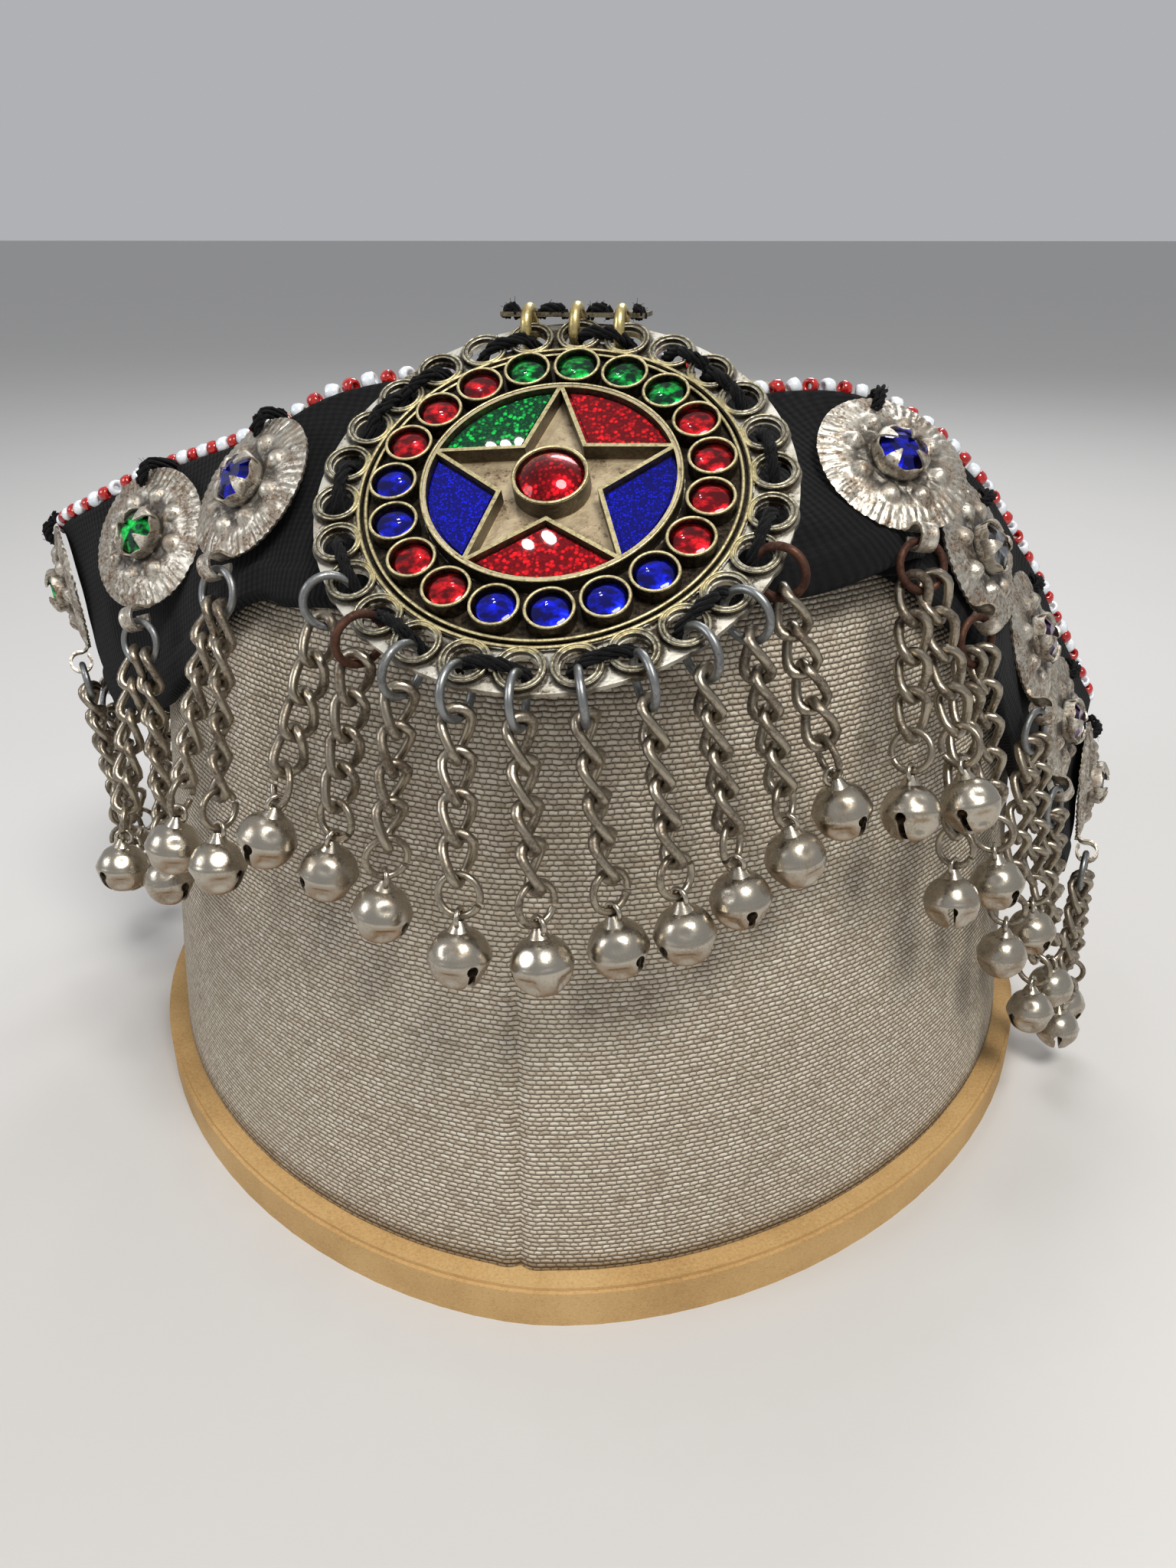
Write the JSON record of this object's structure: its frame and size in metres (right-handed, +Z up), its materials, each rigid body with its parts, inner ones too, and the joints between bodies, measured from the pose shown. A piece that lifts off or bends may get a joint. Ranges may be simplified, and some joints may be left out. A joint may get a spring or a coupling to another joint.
{
  "type": "matha patti on a linen display stand",
  "caption": "Folk head ornament: black knitted band with a round glass-set medallion, embossed discs, chains and small bells, on a linen-covered display stand.",
  "frame": {"origin": "under the middle of the whole object's footprint, on the plane that the board rests on", "axes": "+Z up; the medallion and the front of the stand face -Y; +X to the right as seen from the front"},
  "size_m": [0.2638, 0.2296, 0.1794],
  "materials": {
    "fibreboard": "bare sawn wood-fibre board, golden brown, matt",
    "linen": "coarse plain-weave natural linen, stretched tight",
    "black_knit": "fine black knit with a soft matt nap and folded hems",
    "white_metal": "worn white metal with dark patina in the recesses",
    "sheet_metal": "thin embossed sheet, worn, spotted with brown tarnish",
    "chain_metal": "plated wire and bells, grey, rubbed bright on the edges",
    "brass_tone": "dull brass-toned wire and strip",
    "red_glass": "deep red glass over foil, glossy, with glitter",
    "green_glass": "green glass over foil, glossy",
    "blue_glass": "blue glass over foil, glossy",
    "clear_glass": "clear glass over dull foil",
    "violet_glass": "violet glass over foil, glossy"
  },
  "bodies": {
    "root": {"base_board": "fibreboard", "linen_form": "linen", "head_band": "black_knit", "medallion_frame": "white_metal", "crown_plate": "brass_tone", "centre_stone": "red_glass", "ring_stones_green": "green_glass", "ring_stones_red": "red_glass", "ring_stones_blue": "blue_glass", "top_ring_1": "brass_tone", "top_ring_2": "brass_tone", "top_ring_3": "brass_tone", "star_pane_1": "red_glass", "star_pane_2": "blue_glass", "star_pane_3": "red_glass", "star_pane_4": "blue_glass", "star_pane_5": "green_glass", "disc_1": "sheet_metal", "disc_2": "sheet_metal", "disc_3": "sheet_metal", "disc_4": "sheet_metal", "disc_5": "sheet_metal", "disc_6": "sheet_metal", "disc_7": "sheet_metal", "disc_8": "sheet_metal", "disc_9": "sheet_metal", "disc_10": "sheet_metal", "disc_stone_1": "red_glass", "disc_stone_2": "clear_glass", "disc_stone_3": "green_glass", "disc_stone_4": "green_glass", "disc_stone_5": "blue_glass", "disc_stone_6": "blue_glass", "disc_stone_7": "clear_glass", "disc_stone_8": "violet_glass", "disc_stone_9": "violet_glass", "disc_stone_10": "clear_glass", "fringe_chain_1": "chain_metal", "fringe_chain_2": "chain_metal", "fringe_chain_3": "chain_metal", "fringe_chain_4": "chain_metal", "fringe_chain_5": "chain_metal", "fringe_chain_6": "chain_metal", "fringe_chain_7": "chain_metal", "fringe_chain_8": "chain_metal", "fringe_chain_9": "chain_metal", "fringe_chain_10": "chain_metal", "drop_chain_1": "chain_metal", "drop_chain_2": "chain_metal", "drop_chain_3": "chain_metal", "drop_chain_4": "chain_metal", "drop_chain_5": "chain_metal", "drop_chain_6": "chain_metal", "drop_chain_7": "chain_metal", "drop_chain_8": "chain_metal", "drop_chain_9": "chain_metal", "drop_chain_10": "chain_metal"}
  },
  "joints": []
}
